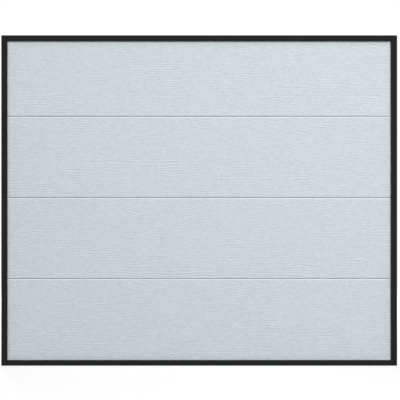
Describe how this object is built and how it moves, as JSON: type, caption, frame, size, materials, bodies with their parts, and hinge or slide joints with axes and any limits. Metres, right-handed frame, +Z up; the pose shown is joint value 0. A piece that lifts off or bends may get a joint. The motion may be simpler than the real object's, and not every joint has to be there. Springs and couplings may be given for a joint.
{
  "type": "sectional garage door",
  "caption": "Closed sectional overhead garage door with wood-grain sections, dark mitred frame, side tracks, rollers, lift cables and a rear torsion spring shaft.",
  "frame": {"origin": "on the floor at mid-width, under the sill, at the back plane of the frame", "axes": "+X right seen from outside, +Y back into the garage, +Z up"},
  "size_m": [2.578, 2.502, 2.152],
  "materials": {
    "frame_coat": "fine matt powder coat, anthracite",
    "section_skin": "embossed wood grain, pale blue-grey coat",
    "seal_rubber": "matt black rubber",
    "rail_aluminium": "mill finish extrusion",
    "galvanised": "galvanised sheet",
    "roller_nylon": "white nylon",
    "bright_steel": "zinc plated steel",
    "cast_alloy": "die cast",
    "pulley_nylon": "black nylon",
    "spring_steel": "oiled spring wire",
    "cable_steel": "galvanised wire rope"
  },
  "bodies": {
    "root": {"frame_left_leg": "frame_coat", "frame_right_leg": "frame_coat", "frame_head": "frame_coat", "frame_sill": "frame_coat", "bottom_section": "section_skin", "lower_section": "section_skin", "upper_section": "section_skin", "top_section": "section_skin", "bottom_seal": "seal_rubber", "left_side_seal": "seal_rubber", "right_side_seal": "seal_rubber", "head_seal": "seal_rubber", "track_buffers": "seal_rubber", "bottom_rail": "rail_aluminium", "bottom_section_end_caps": "galvanised", "lower_section_end_caps": "galvanised", "upper_section_end_caps": "galvanised", "top_section_end_caps": "galvanised", "middle_hinges": "galvanised", "roller_hinges": "galvanised", "bottom_brackets": "galvanised", "top_brackets": "galvanised", "left_wall_angle": "galvanised", "right_wall_angle": "galvanised", "left_vertical_track": "galvanised", "right_vertical_track": "galvanised", "left_lower_track": "galvanised", "right_lower_track": "galvanised", "left_upper_track": "galvanised", "right_upper_track": "galvanised", "corner_plates": "galvanised", "rear_side_plates": "galvanised", "rear_cross_rail": "galvanised", "centre_bearing_plate": "galvanised", "wall_brackets": "galvanised", "left_rollers": "roller_nylon", "right_rollers": "roller_nylon", "roller_stems": "bright_steel", "torsion_shaft": "bright_steel", "shaft_bearings": "bright_steel", "cable_drums": "cast_alloy", "spring_plugs": "cast_alloy", "cable_pulleys": "pulley_nylon", "torsion_springs": "spring_steel", "lift_cables": "cable_steel"}
  },
  "joints": []
}
